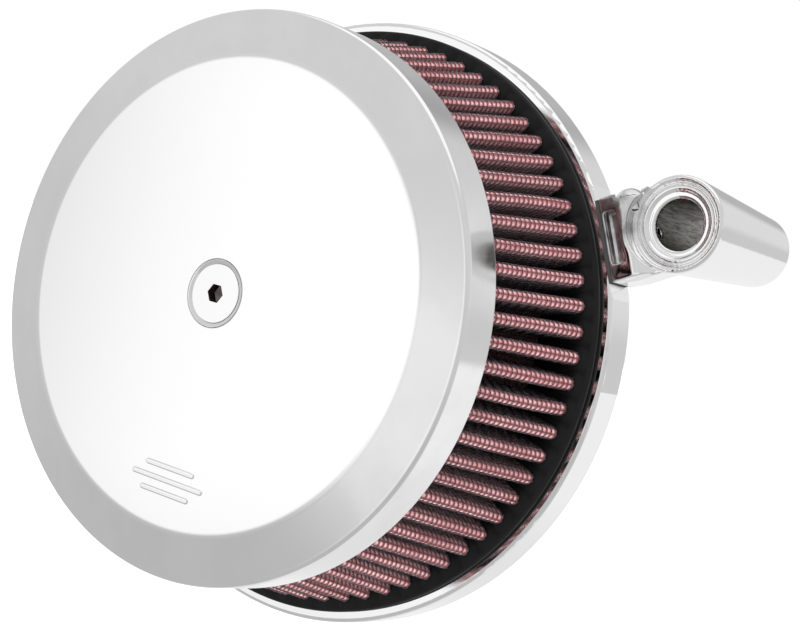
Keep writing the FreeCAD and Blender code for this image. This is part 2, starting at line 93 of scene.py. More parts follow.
# ---- the moulded caps
CAP_STEPS_PER_PLEAT = 20
CAP_RINGS = 26
CAP_EDGE = 1.1 * MM
CAP_CORNER = 0.5 * MM
CAP_SINK = 0.4 * MM
CUFF_SPREAD = 1.7 * MM
REAR_CUFF = 0.4 * MM
FRONT_CUFF = 0.8 * MM

# ---- the arms
CAST_VOXEL = 0.34 * MM
CRISP_RADIUS = 12.0 * MM
CRISP_FADE = 2.0 * MM
CRISP_WEIGHT = 0.2
EAR_CENTRE = Vector(((seal_low.x + seal_high.x) / 2, 0, (seal_low.z + seal_high.z) / 2))

# ---- the cover's turned profile, measured from its front face
DISC_RADIUS = 65.5 * MM
DISC_STEP = 0.26 * MM
RIM_SET_BACK = 2.6 * MM
COVER_EDGE = 1.3 * MM
COVER_WALL = 3.0 * MM
COVER_SKIN = 4.9 * MM
LIP_RADII = (57.4 * MM, 55.0 * MM)
LIP_HEIGHT = 3.0 * MM
RECESS = 3.2 * MM
BOSS_RADIUS = 14.0 * MM
BOSS_FLOOR = 3.0 * MM
SCREW_POCKET_RADIUS = 9.4 * MM
SCREW_HOLE_RADIUS = 4.22 * MM
POCKET_BEND = 0.2 * MM
BACK_BEND = 0.4 * MM
TURNED_SEGMENTS = 288

# ---- the cup washer
WASHER_SEGMENTS = 144
WASHER_HOLE_RADIUS = 4.05 * MM
DISH_START = 8.0 * MM
DISH_WIDTH = 1.1 * MM
DISH_RISE = 0.5 * MM
SEAT_SINK = 0.25 * MM

# ---- screws
SCREW_SEGMENTS = 40
ROWS_PER_THREAD = 9
HEAD_SLOPE = math.tan(math.radians(41.0))
COVER_THREAD = 3.97 * MM
COVER_THREAD_DEPTH = 0.8 * MM
COVER_THREAD_PITCH = 1.411 * MM
COVER_SHANK = 8.0 * MM
COVER_HEX = 4.76 * MM
COVER_HEX_DEPTH = 3.0 * MM
THROTTLE_THREAD = 3.175 * MM
THROTTLE_THREAD_DEPTH = 0.75 * MM
THROTTLE_THREAD_PITCH = 1.27 * MM
THROTTLE_THREAD_START = 1.6 * MM
THROTTLE_SHANK = 2.85 * MM
THROTTLE_HEAD = 6.2 * MM
THROTTLE_TIP = 2.4 * MM
THROTTLE_HEX = 4.0 * MM
THROTTLE_HEX_DEPTH = 2.2 * MM
THROTTLE_CIRCLE = 38.0 * MM
THROTTLE_ANGLES = (90, 210, 330)

# ---- the badge: height on the cover and length of each bar
BADGE_BARS = ((-49.0, 16.0), (-52.5, 24.0), (-56.0, 16.0))
BADGE_HALF_WIDTH = 0.8 * MM
BADGE_TOP_SHARE = 0.62

# ---- the studio: left, right, low and high of each patch in degrees, and its soft edges
CARD = (-45.5, -14.0, -13.0, 9.0, 7.0, 6.0)
GLOW = (-24.0, 4.0, -22.0, 5.0, 6.0, 5.0)
SIDE_SHADE = (22.0, 112.0, -38.0, 46.0, 8.0, 8.0)
LOW_SHADE = (4.0, 34.0, -38.0, 14.0, 5.0, 6.0)
REAR_SHADE = (-174.0, -142.0, 9.0, 44.0, 6.0, 4.0)
CARD_GAIN = 0.44
GLOW_GAIN = 0.22
SHADE_LOSS = -0.85
REAR_SHADE_LOSS = -0.25
FLOOR_REACH = 6.0
FLOOR_DROP = 90.0 * MM


# ---- mesh helpers
def facing_out(vertices, faces):
    """The same faces, turned round if the volume that they enclose comes out negative."""
    corners = np.asarray(vertices)[faces]
    turned = np.cross(corners[:, 1] - corners[:, 0], corners[:, 2] - corners[:, 0])
    if faces.shape[1] == 4:
        turned = turned + np.cross(corners[:, 2] - corners[:, 0], corners[:, 3] - corners[:, 0])
    volume = (corners.mean(1) * turned).sum()
    return faces if volume > 0 else faces[:, ::-1]


def new_object(name, vertices, faces, material, smooth=True, closed=True):
    """A mesh object from arrays of vertices and of faces that all have the same corner count."""
    mesh = bpy.data.meshes.new(name)
    faces = np.asarray(faces, np.int32)
    if closed:
        faces = facing_out(vertices, faces)
    corners = faces.shape[1]
    mesh.vertices.add(len(vertices))
    mesh.vertices.foreach_set("co", np.asarray(vertices, np.float32).ravel())
    mesh.loops.add(faces.size)
    mesh.loops.foreach_set("vertex_index", faces.ravel())
    mesh.polygons.add(len(faces))
    mesh.polygons.foreach_set("loop_start", np.arange(0, faces.size, corners, dtype=np.int32))
    mesh.polygons.foreach_set("use_smooth", np.full(len(faces), smooth))
    mesh.update(calc_edges=True)
    mesh.validate()
    mesh.materials.append(material)
    piece = bpy.data.objects.new(name, mesh)
    bpy.context.scene.collection.objects.link(piece)
    return piece


def grid_faces(rows, columns, close_rows=False, close_columns=False):
    """Quads of a rows x columns grid of vertices, wrapped round in either direction."""
    row = np.arange(rows if close_rows else rows - 1)
    column = np.arange(columns if close_columns else columns - 1)
    r, c = np.meshgrid(row, column, indexing="ij")
    r2, c2 = (r + 1) % rows, (c + 1) % columns
    quads = np.stack([r * columns + c, r * columns + c2, r2 * columns + c2, r2 * columns + c], -1)
    return quads.reshape(-1, 4)


def mark_sharp(piece, degrees):
    """Edges that bend more than this stay crisp."""
    piece.data.set_sharp_from_angle(angle=math.radians(degrees))


def finish(piece, body, slot, *stands_for):
    """Ties a piece to its body and hides the nodes it takes the place of. The slot argument is not
    used.
    """
    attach(piece, body)
    if stands_for:
        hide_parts(*stands_for)
    return piece


def evaluated_copy(source, name, *modifiers):
    """A new mesh object: source's mesh with modifiers, given as (type, settings), applied."""
    carrier = bpy.data.objects.new(name, source.data.copy())
    bpy.context.scene.collection.objects.link(carrier)
    for kind, settings in modifiers:
        modifier = carrier.modifiers.new(kind, kind)
        for key, value in settings.items():
            setattr(modifier, key, value)
    bpy.context.view_layer.update()
    graph = bpy.context.evaluated_depsgraph_get()
    applied = bpy.data.meshes.new_from_object(carrier.evaluated_get(graph))
    carrier.modifiers.clear()
    carrier.data = applied
    carrier.name = name
    return carrier


# ---- node helpers
class Graph:
    """Short calls for building one shader tree."""

    def __init__(self, tree):
        self.tree = tree
        tree.nodes.clear()

    def node(self, kind, **settings):
        made = self.tree.nodes.new("ShaderNode" + kind)
        for key, value in settings.items():
            setattr(made, key, value)
        return made

    def feed(self, socket, value):
        if isinstance(value, bpy.types.NodeSocket):
            self.tree.links.new(value, socket)
        else:
            socket.default_value = value

    def math(self, operation, *values):
        made = self.node("Math", operation=operation)
        for socket, value in zip(made.inputs, values):
            self.feed(socket, value)
        return made.outputs[0]

    def smooth(self, value, start, end, low=0.0, high=1.0):
        """Low up to start, high from end on, smooth in between."""
        made = self.node("MapRange", interpolation_type="SMOOTHSTEP")
        self.feed(made.inputs["Value"], value)
        limits = (("From Min", start), ("From Max", end), ("To Min", low), ("To Max", high))
        for key, number in limits:
            self.feed(made.inputs[key], number)
        return made.outputs[0]

    def noise(self, vector, scale, detail=3.0, roughness=0.5):
        made = self.node("TexNoise")
        self.feed(made.inputs["Vector"], vector)
        made.inputs["Scale"].default_value = scale
        made.inputs["Detail"].default_value = detail
        made.inputs["Roughness"].default_value = roughness
        return made.outputs["Fac"]

    def mix(self, factor, a, b):
        made = self.node("Mix", data_type="RGBA")
        self.feed(made.inputs[0], factor)
        self.feed(made.inputs[6], a)
        self.feed(made.inputs[7], b)
        return made.outputs[2]

    def bump(self, height, distance, strength=1.0, normal=None):
        made = self.node("Bump")
        made.inputs["Strength"].default_value = strength
        made.inputs["Distance"].default_value = distance
        self.feed(made.inputs["Height"], height)
        if normal is not None:
            self.feed(made.inputs["Normal"], normal)
        return made.outputs["Normal"]


def material(name, **sockets):
    """A material with a Principled shader whose constant sockets are set by name."""
    made = bpy.data.materials.new(name)
    made.use_nodes = True
    graph = Graph(made.node_tree)
    shader = graph.node("BsdfPrincipled")
    output = graph.node("OutputMaterial")
    graph.tree.links.new(shader.outputs[0], output.inputs["Surface"])
    for key, value in sockets.items():
        graph.feed(shader.inputs[key.replace("_", " ")], value)
    place = graph.node("TexCoord").outputs["Object"]
    return made, graph, shader, place


def grey(level):
    return (level, level, level, 1.0)


def distance_from_axis(g, x, z):
    return g.math("SQRT", g.math("ADD", g.math("POWER", x, 2.0), g.math("POWER", z, 2.0)))


# ---- finishes
def polished(name, tone, roughness, wave_scale, wave_height, haze):
    """Bright metal: a faint waviness from buffing, hazy patches and hairline scratches."""
    made, g, shader, place = material(name, Metallic=1.0)
    patches = g.noise(place, 45.0, 4.0)
    fine = g.noise(place, 1400.0, 2.0)
    cool = (tone, tone, tone + 0.006, 1)
    g.feed(shader.inputs["Base Color"], g.mix(patches, grey(tone - 0.015), cool))
    rough = g.smooth(patches, 0.35, 0.75, roughness, roughness + haze)
    g.feed(shader.inputs["Roughness"], g.math("MULTIPLY_ADD", fine, haze * 0.5, rough))
    waves = g.bump(g.noise(place, wave_scale, 1.0), wave_height)
    g.feed(shader.inputs["Normal"], g.bump(fine, 0.0006 * MM, 1.0, waves))
    return made


def cast_and_bored():
    """The arms' finish: bright polished casting outside; inside the bore, streaks from machining
    whose dark end is painted shade.
    """
    made, g, shader, place = material("cast_chrome", Metallic=1.0)
    axes = g.node("SeparateXYZ")
    g.feed(axes.inputs[0], place)
    x, y, z = axes.outputs
    beside = g.math("SUBTRACT", g.math("ABSOLUTE", x), EAR_CENTRE.x)
    above = g.math("SUBTRACT", z, EAR_CENTRE.z)
    bored = g.smooth(distance_from_axis(g, beside, above), 7.1 * MM, 7.4 * MM, 1.0, 0.0)
    rough_cast = g.smooth(beside, -13.0 * MM, -10.5 * MM, 1.0, 0.0)
    patches = g.noise(place, 140.0, 4.0)
    stretched = g.node("Mapping")
    g.feed(stretched.inputs["Vector"], place)
    stretched.inputs["Scale"].default_value = (1.0, 0.12, 1.0)
    streaks = g.noise(stretched.outputs[0], 1500.0, 4.0, 0.65)
    fine = g.noise(place, 1400.0, 2.0)
    bright = g.mix(patches, grey(0.9), grey(0.93))
    dull = g.mix(g.smooth(patches, 0.35, 0.65), grey(0.3), grey(0.8))
    # inside the bore the colour runs in streaks from near black to a light machined grey: the
    # streaks are machining marks, the near-black end is painted shade
    dark = g.mix(g.smooth(streaks, 0.3, 0.7), grey(0.14), (0.68, 0.66, 0.62, 1))
    g.feed(shader.inputs["Base Color"], g.mix(bored, g.mix(rough_cast, bright, dull), dark))
    rough = g.smooth(patches, 0.35, 0.75, 0.03, 0.075)
    rough = g.math("MULTIPLY_ADD", rough_cast, 0.16, rough)
    rough = g.math("MULTIPLY_ADD", bored, g.smooth(streaks, 0.3, 0.7, 0.2, 0.36), rough)
    g.feed(shader.inputs["Roughness"], rough)
    ripple = g.noise(place, 140.0, 1.0)
    height = g.math("MULTIPLY_ADD", g.math("MULTIPLY", bored, streaks), 2.0, ripple)
    height = g.math("MULTIPLY_ADD", g.math("MULTIPLY", rough_cast, patches), 9.0, height)
    g.feed(shader.inputs["Normal"], g.bump(fine, 0.0006 * MM, 1.0, g.bump(height, 0.02 * MM)))
    return made


def polished_screw():
    """The cover screw's finish: polished outside, dark oxide inside the hex socket."""
    made, g, shader, place = material("screw_chrome", Metallic=1.0)
    axes = g.node("SeparateXYZ")
    g.feed(axes.inputs[0], place)
    x, y, z = axes.outputs
    sunk = g.smooth(y, screw_low.y + 0.05 * MM, screw_low.y + 0.3 * MM)
    central = g.smooth(distance_from_axis(g, x, z), 2.8 * MM, 2.95 * MM, 1.0, 0.0)
    socket = g.math("MULTIPLY", sunk, central)
    patches = g.noise(place, 90.0, 4.0)
    oxide = g.mix(g.noise(place, 900.0, 3.0), (0.1, 0.08, 0.075, 1), (0.3, 0.26, 0.25, 1))
    outside = g.mix(patches, grey(0.88), grey(0.93))
    g.feed(shader.inputs["Base Color"], g.mix(socket, outside, oxide))
    rough = g.math("MULTIPLY_ADD", socket, 0.25, g.smooth(patches, 0.35, 0.75, 0.05, 0.11))
    g.feed(shader.inputs["Roughness"], rough)
    ring_pitch = 2 * math.pi / (0.25 * MM)
    turning = g.math("SINE", g.math("MULTIPLY", distance_from_axis(g, x, z), ring_pitch))
    g.feed(shader.inputs["Normal"], g.bump(turning, 0.0002 * MM))
    return made


def buffed_cover():
    """The cover's finish: a clean mirror on the disc, cloudy buffing on the ring round it."""
    made, g, shader, place = material("cover_chrome", Metallic=1.0)
    axes = g.node("SeparateXYZ")
    g.feed(axes.inputs[0], place)
    radius = distance_from_axis(g, axes.outputs["X"], axes.outputs["Z"])
    ring = g.smooth(radius, DISC_RADIUS, DISC_RADIUS + MM)
    cloudy = g.noise(place, 60.0, 5.0, 0.62)
    fine = g.noise(place, 1400.0, 2.0)
    tone = g.math("MULTIPLY", ring, g.smooth(cloudy, 0.3, 0.7, 0.0, 0.5))
    g.feed(shader.inputs["Base Color"], g.mix(tone, grey(0.935), grey(0.86)))
    buffing = g.math("SINE", g.math("MULTIPLY", radius, 2 * math.pi / (0.9 * MM)))
    rough = g.math("MULTIPLY", ring, g.smooth(cloudy, 0.35, 0.75, 0.05, 0.16))
    rough = g.math("ADD", rough, g.smooth(cloudy, 0.35, 0.75, 0.035, 0.06))
    g.feed(shader.inputs["Roughness"], rough)
    waves = g.noise(place, 35.0, 1.0)
    height = g.math("MULTIPLY_ADD", g.math("MULTIPLY", buffing, ring), 0.02, waves)
    g.feed(shader.inputs["Normal"], g.bump(fine, 0.0006 * MM, 1.0, g.bump(height, 0.012 * MM)))
    return made


def turned_metal(name, tone, roughness, groove_pitch):
    """Metal from a lathe: fine rings about the Y axis."""
    made, g, shader, place = material(name, Metallic=1.0, Anisotropic=0.45)
    axes = g.node("SeparateXYZ")
    g.feed(axes.inputs[0], place)
    radius = distance_from_axis(g, axes.outputs["X"], axes.outputs["Z"])
    travel = g.math("ADD", radius, axes.outputs["Y"])
    rings = g.math("SINE", g.math("MULTIPLY", travel, 2 * math.pi / groove_pitch))
    patches = g.noise(place, 60.0, 4.0)
    g.feed(shader.inputs["Base Color"], g.mix(patches, grey(tone * 0.9), grey(tone)))
    g.feed(shader.inputs["Roughness"], g.smooth(patches, 0.3, 0.8, roughness, roughness + 0.12))
    g.feed(shader.inputs["Normal"], g.bump(rings, 0.006 * MM))
    return made


def plated(name, tone, roughness, grain):
    """Plated or rolled steel: fine grain, soft mottling and slightly dull patches."""
    made, g, shader, place = material(name, Metallic=1.0)
    patches = g.noise(place, 90.0, 5.0, 0.6)
    fine = g.noise(place, grain, 3.0)
    dull = tuple(level * 0.72 for level in tone[:3]) + (1.0,)
    g.feed(shader.inputs["Base Color"], g.mix(patches, dull, tone))
    g.feed(shader.inputs["Roughness"], g.smooth(patches, 0.3, 0.75, roughness, roughness + 0.18))
    g.feed(shader.inputs["Normal"], g.bump(fine, 0.01 * MM))
    return made


def moulded_rubber(name, tone, roughness, grain, gloss):
    """Black moulded rubber or urethane with a faint skin texture and a cloudy, uneven tone."""
    made, g, shader, place = material(name, Coat_Weight=gloss, Coat_Roughness=0.18)
    shader.inputs["Specular IOR Level"].default_value = 0.12
    cloudy = g.noise(place, 130.0, 5.0, 0.6)
    fine = g.noise(place, grain, 2.0)
    g.feed(shader.inputs["Base Color"], g.mix(cloudy, grey(tone * 0.6), grey(tone * 1.6)))
    g.feed(shader.inputs["Roughness"], g.smooth(cloudy, 0.3, 0.7, roughness, roughness + 0.14))
    g.feed(shader.inputs["Normal"], g.bump(fine, 0.02 * MM))
    return made


def coated_wire():
    """Dark epoxy-coated aluminium wire."""
    made, g, shader, place = material("coated_wire", Metallic=0.75,
                                      Coat_Weight=0.6, Coat_Roughness=0.12)
    cloudy = g.noise(place, 900.0, 2.0)
    dark, light = (0.07, 0.055, 0.065, 1), (0.22, 0.19, 0.21, 1)
    g.feed(shader.inputs["Base Color"], g.mix(cloudy, dark, light))
    g.feed(shader.inputs["Roughness"], g.smooth(cloudy, 0.3, 0.7, 0.24, 0.4))
    return made


def depth_below_crest(g, place):
    """How far a point lies inside the cone that touches all the crests."""
    axes = g.node("SeparateXYZ")
    g.feed(axes.inputs[0], place)
    x, y, z = axes.outputs
    taper = CREST_RADIUS * (1.0 - FRONT_SCALE) / (MEDIA_BACK - MEDIA_FRONT)
    crest = g.math("MULTIPLY_ADD", y, taper, CREST_RADIUS - taper * MEDIA_BACK)
    return g.math("SUBTRACT", crest, distance_from_axis(g, x, z))


def oiled_cotton():
    """Several layers of red-oiled cotton gauze; its weave follows the cell coordinates. Its colour
    also holds a painted highlight in the middle of each cell and painted shade deep in the folds.
    """
    made, g, shader, place = material("oiled_cotton", Sheen_Weight=0.55, Sheen_Roughness=0.35,
                                      Coat_Weight=0.28, Coat_Roughness=0.3)
    shader.inputs["Sheen Tint"].default_value = (1.0, 0.72, 0.72, 1.0)
    cells = g.node("UVMap", uv_map="cells").outputs[0]
    axes = g.node("SeparateXYZ")
    g.feed(axes.inputs[0], cells)
    threads_per_cell = 6.0
    thread_pitch = 2 * math.pi * threads_per_cell
    warp = g.math("SINE", g.math("MULTIPLY", axes.outputs["X"], thread_pitch))
    weft = g.math("SINE", g.math("MULTIPLY", axes.outputs["Y"], thread_pitch))
    weave = g.math("MULTIPLY", warp, weft)
    fuzz = g.noise(place, 2600.0, 3.0, 0.6)
    soaked = g.noise(place, 70.0, 4.0, 0.55)
    deep, pale = (0.36, 0.04, 0.05, 1), (1.0, 0.6, 0.61, 1)
    # painted highlight: the middle of each cell, where the cotton swells out between the wires, is
    # painted towards the pale tone and the cell's edges towards the deep tone; the weave and fuzz
    # give the threads' own tone
    puff = []
    for name in ("X", "Y"):
        cell_highlight_wave = g.math("SINE", g.math("MULTIPLY", axes.outputs[name], math.pi))
        puff.append(g.math("POWER", cell_highlight_wave, 2.0))
    threads_and_cell_highlight = g.math("MULTIPLY_ADD", weave, 0.22, g.math("MULTIPLY", puff[0], puff[1]))
    thread_and_highlight_tone = g.smooth(g.math("MULTIPLY_ADD", fuzz, 0.5, threads_and_cell_highlight), 0.05, 1.1)
    dry_cotton_and_highlight = g.mix(thread_and_highlight_tone, deep, pale)
    oily = g.smooth(soaked, 0.35, 0.7)
    skin = g.mix(g.math("MULTIPLY", oily, 0.4), dry_cotton_and_highlight, (0.4, 0.04, 0.05, 1))
    # painted shade: deeper inside the folds the cotton is painted towards near black
    folded = g.smooth(depth_below_crest(g, place), 0.9 * MM, 4.0 * MM)
    g.feed(shader.inputs["Base Color"], g.mix(folded, skin, (0.045, 0.005, 0.007, 1)))
    g.feed(shader.inputs["Roughness"], g.smooth(soaked, 0.3, 0.7, 0.72, 0.5))
    height = g.math("MULTIPLY_ADD", fuzz, 0.6, weave)
    g.feed(shader.inputs["Normal"], g.bump(height, 0.06 * MM))
    return made


chrome = polished("show_chrome", 0.93, 0.035, 35.0, 0.012 * MM, 0.05)
cover_chrome = buffed_cover()
arm_chrome = cast_and_bored()
badge_chrome = polished("badge_chrome", 0.9, 0.06, 200.0, 0.01 * MM, 0.05)
screw_chrome = polished_screw()
turned_aluminium = turned_metal("turned_aluminium", 0.82, 0.22, 0.35 * MM)
zinc_plate = plated("zinc_plate", (0.68, 0.69, 0.66, 1), 0.26, 900.0)
dark_steel = plated("dark_steel", (0.3, 0.3, 0.31, 1), 0.3, 1500.0)
cap_urethane = moulded_rubber("cap_urethane", 0.006, 0.42, 900.0, 0.04)
gasket_sheet = moulded_rubber("gasket_sheet", 0.05, 0.75, 1800.0, 0.0)
seal_nitrile = moulded_rubber("seal_nitrile", 0.02, 0.38, 1200.0, 0.15)
wire = coated_wire()
cotton = oiled_cotton()


# ---- pleats
def pleat_outline(inset, samples):
    """One pleat's outline at the back, from valley to valley, evenly spaced along its length.

    A round crest and a round valley are joined by a straight flank. Returns radius, angle
    from the pleat's middle, and the outward normal as (radial, tangential) parts.
    """
    crest = CREST_BEND - inset
    valley = VALLEY_BEND + inset
    crest_centre = np.array([CREST_RADIUS - CREST_BEND, 0.0])
    valley_reach = CREST_RADIUS - PLEAT_DEPTH + VALLEY_BEND
    half_pitch = PLEAT_PITCH / 2
    valley_centre = valley_reach * np.array([math.cos(half_pitch), math.sin(half_pitch)])
    between = valley_centre - crest_centre
    reach = np.linalg.norm(between)
    lean = math.atan2(between[1], between[0]) - math.acos((crest + valley) / reach)
    points = []
    for turn in np.linspace(0.0, lean, OUTLINE_STEPS):
        points.append(crest_centre + crest * np.array([math.cos(turn), math.sin(turn)]))
    for turn in np.linspace(lean + math.pi, math.pi + half_pitch, OUTLINE_STEPS):
        points.append(valley_centre + valley * np.array([math.cos(turn), math.sin(turn)]))
    half = np.array(points)
    outline = np.concatenate([(half * [1, -1])[::-1], half[1:]])
    steps = np.linalg.norm(np.diff(outline, axis=0), axis=1)
    travel = np.concatenate([[0.0], np.cumsum(steps)])
    even = np.linspace(0.0, travel[-1], samples + 1)
    even_points = np.stack([np.interp(even, travel, outline[:, k]) for k in (0, 1)], -1)
    slope = np.gradient(even_points, axis=0)
    slope /= np.linalg.norm(slope, axis=1)[:, None]
    angle = np.arctan2(even_points[:, 1], even_points[:, 0])
    radius = np.linalg.norm(even_points, axis=1)
    across = np.arctan2(-slope[:, 0], slope[:, 1])
    return radius, angle, across - angle


def wander(angle, share):
    """Uneven folding: a small turn of each pleat, none where the caps hold it."""
    rng = np.random.default_rng(7)
    lean = rng.normal(0.0, LEAN_SPREAD, PLEAT_COUNT)
    bow = rng.normal(0.0, BOW_SPREAD, PLEAT_COUNT)
    place = (angle / PLEAT_PITCH) % PLEAT_COUNT
    index = np.arange(PLEAT_COUNT + 1)
    leaning = np.interp(place, index, np.append(lean, lean[0]))
    bowing = np.interp(place, index, np.append(bow, bow[0]))
    return leaning * np.sin(math.pi * share) + bowing * np.sin(2 * math.pi * share)


def on_pleats(outline, first_pleat, pleats, y):
    """Points and outward normals of the pleated surface: rows for y, columns round the pleats."""
    radius, angle, normal = outline
    starts = [angle[:-1] + (first_pleat + i) * PLEAT_PITCH for i in range(pleats)]
    last = angle[-1] + (first_pleat + pleats - 1) * PLEAT_PITCH
    round_angle = np.append(np.concatenate(starts), last)
    round_radius = np.append(np.tile(radius[:-1], pleats), radius[-1])
    round_normal = np.append(np.tile(normal[:-1], pleats), normal[-1])
    share = ((MEDIA_BACK - y) / (MEDIA_BACK - MEDIA_FRONT))[:, None]
    reach = round_radius * (1.0 + (FRONT_SCALE - 1.0) * share)
    turned = round_angle[None, :] + wander(round_angle[None, :], share)
    height = np.broadcast_to(y[:, None], reach.shape)
    points = np.stack([reach * np.cos(turned), height, reach * np.sin(turned)], -1)
    facing = turned + round_normal
    normals = np.stack([np.cos(facing), np.zeros_like(reach), np.sin(facing)], -1)
    return points, normals


def tubes(lines, sides_a, sides_b, sides):
    """Round wires along lines (wires x points x 3), with two cross directions at each point."""
    wires, points = lines.shape[:2]
    turns = np.arange(sides) * 2 * math.pi / sides
    one_way = np.cos(turns)[:, None] * sides_a[:, :, None, :]
    other_way = np.sin(turns)[:, None] * sides_b[:, :, None, :]
    vertices = (lines[:, :, None, :] + WIRE_RADIUS * (one_way + other_way)).reshape(-1, 3)
    one = grid_faces(points, sides, close_columns=True)
    offsets = np.arange(wires)[:, None, None] * points * sides
    return vertices, (one[None] + offsets).reshape(-1, 4)


def row_heights(rows):
    """Heights of the cross wires, half a cell in from each end."""
    cell = (MEDIA_FRONT - MEDIA_BACK) / rows
    return MEDIA_BACK + cell * (np.arange(rows) + 0.5)


def wire_cloth(name, inset, first_pleat, pleats, cells, rows, sides, stands_for):
    """Woven wires over a run of pleats: cross wires that follow the folds, and long wires."""
    outline = pleat_outline(inset, cells * 2)
    points, normals = on_pleats(outline, first_pleat, pleats, row_heights(rows))
    columns = points.shape[1]
    column = np.arange(columns)
    crossing = np.where(column % 2 == 0, (-1.0) ** (column // 2), 0.0)
    over = (-1.0) ** np.arange(rows)[:, None] * crossing[None, :]
    lines = points + (WIRE_DIP * over)[..., None] * normals
    along_y = np.broadcast_to(np.array([0.0, 1.0, 0.0]), lines.shape)
    cross_vertices, cross_faces = tubes(lines, normals, along_y, sides)

    stops = np.linspace(MEDIA_BACK, MEDIA_FRONT, 2 * rows + 1)
    points, normals = on_pleats(outline, first_pleat, pleats, stops)
    knot = np.arange(2 * rows + 1)
    weave = np.where(knot % 2 == 1, (-1.0) ** (knot // 2), 0.0)
    wires = np.arange(0, columns, 2)[:pleats * cells]
    under = -(-1.0) ** (wires // 2)[None, :] * weave[:, None]
    lines = points[:, wires] + (WIRE_DIP * under)[..., None] * normals[:, wires]
    beside = np.cross(normals[:, wires], np.array([0.0, 1.0, 0.0]))
    swap = (1, 0, 2)
    long_vertices, long_faces = tubes(
        lines.transpose(swap), normals[:, wires].transpose(swap), beside.transpose(swap), sides)
    vertices = np.concatenate([cross_vertices, long_vertices])
    faces = np.concatenate([cross_faces, long_faces + len(cross_vertices)])
    piece = new_object(name, vertices, faces, wire)
    return finish(piece, "element", "mesh_wire", stands_for)


def cotton_sector(name, first_pleat, pleats):
    """Folded cotton with a quilted outer skin, swelling out between the wires."""
    outer = pleat_outline(MEDIA_INSET, CELLS_PER_PLEAT * 2)
    inner = pleat_outline(MEDIA_INSET + MEDIA_THICKNESS, CELLS_PER_PLEAT * 2)
    y = np.linspace(MEDIA_BACK, MEDIA_FRONT, 2 * CELL_ROWS + 1)
    points, normals = on_pleats(outer, first_pleat, pleats, y)
    rows, columns = points.shape[:2]
    row_swell = np.where(np.arange(rows) % 2 == 0, 1.0, 0.0)
    column_swell = np.where(np.arange(columns) % 2 == 1, 1.0, 0.0)
    puff = COTTON_SWELL * row_swell[:, None] * column_swell[None, :]
    skin = (points + puff[..., None] * normals).reshape(-1, 3)
    lining = on_pleats(inner, first_pleat, pleats, y[::LINING_STEP])[0]
    lining_rows = lining.shape[0]
    faces = grid_faces(rows, columns)
    lining_faces = grid_faces(lining_rows, columns)[:, ::-1] + len(skin)
    piece = new_object(name, np.concatenate([skin, lining.reshape(-1, 3)]),
                       np.concatenate([faces, lining_faces]), cotton)
    column = np.tile(np.arange(columns), rows + lining_rows)
    row_numbers = np.concatenate([np.arange(rows), np.arange(lining_rows) * LINING_STEP])
    row = np.repeat(row_numbers, columns)
    cells = np.stack([column / 2.0, row / 2.0 + 0.5], -1)
    layer = piece.data.uv_layers.new(name="cells")
    corners = np.empty(len(piece.data.loops), np.int32)
    piece.data.loops.foreach_get("vertex_index", corners)
    layer.data.foreach_set("uv", cells[corners].astype(np.float32).ravel())
    return finish(piece, "element", "oiled_cotton", "filter_media")


def distance_to_pleats(radius, angle, scale):
    """How far a point of a cap's face is outside the nearest pleat, negative inside it."""
    folded = np.abs((angle + PLEAT_PITCH / 2) % PLEAT_PITCH - PLEAT_PITCH / 2)
    x, t = radius * np.cos(folded) / scale, radius * np.sin(folded) / scale
    centre = CREST_RADIUS - CREST_BEND
    valley = CREST_RADIUS - PLEAT_DEPTH
    from_crest = np.hypot(x - centre, t) - CREST_BEND
    half_width = np.interp(x, [valley, centre], [FLANK_HALF_WIDTH, CREST_BEND])
    from_flank = np.where(x < valley, x - valley, t - half_width)
    return scale * np.where(x > centre, from_crest, from_flank)


def end_cap(name, outer_radius, seat, back, scale, cuff, stands_for):
    """Moulded cap that climbs a little round each pleat end, as the potted rubber does.

    seat is where its pleated face lies along Y, and back is where its plain face lies.
    """
    out = 1.0 if seat > back else -1.0
    angles = np.arange(PLEAT_COUNT * CAP_STEPS_PER_PLEAT) * PLEAT_PITCH / CAP_STEPS_PER_PLEAT
    radii = np.linspace(CAP_HOLE_RADIUS, outer_radius - CAP_EDGE, CAP_RINGS)
    r, a = np.meshgrid(radii, angles, indexing="ij")
    away = np.clip(distance_to_pleats(r, a, scale) / CUFF_SPREAD, 0.0, 1.0)
    height = seat + out * cuff * (1.0 - away ** 2.2) - out * CAP_SINK * away
    rim = seat - out * CAP_SINK
    plain = []
    for bend in np.linspace(0.0, math.pi / 2, 5)[1:]:
        plain.append((outer_radius - CAP_EDGE + CAP_EDGE * math.sin(bend),
                      rim - out * CAP_EDGE * (1 - math.cos(bend))))
    corner = back + out * CAP_CORNER
    plain += [(outer_radius, (rim + back) / 2), (outer_radius, corner),
              (outer_radius - CAP_CORNER, back), (CAP_HOLE_RADIUS + CAP_CORNER, back),
              (CAP_HOLE_RADIUS, corner)]
    plain = np.array(plain)
    full = np.ones((1, len(angles)))
    r = np.concatenate([r, plain[:, :1] * full])
    y = np.concatenate([height, plain[:, 1:] * full])
    a = np.broadcast_to(angles, r.shape)
    vertices = np.stack([r * np.cos(a), y, r * np.sin(a)], -1)
    rows, columns = r.shape
    faces = grid_faces(rows, columns, close_rows=True, close_columns=True)
    piece = new_object(name, vertices.reshape(-1, 3), faces, cap_urethane)
    mark_sharp(piece, 50)
    return finish(piece, "element", "cap_rubber", stands_for)


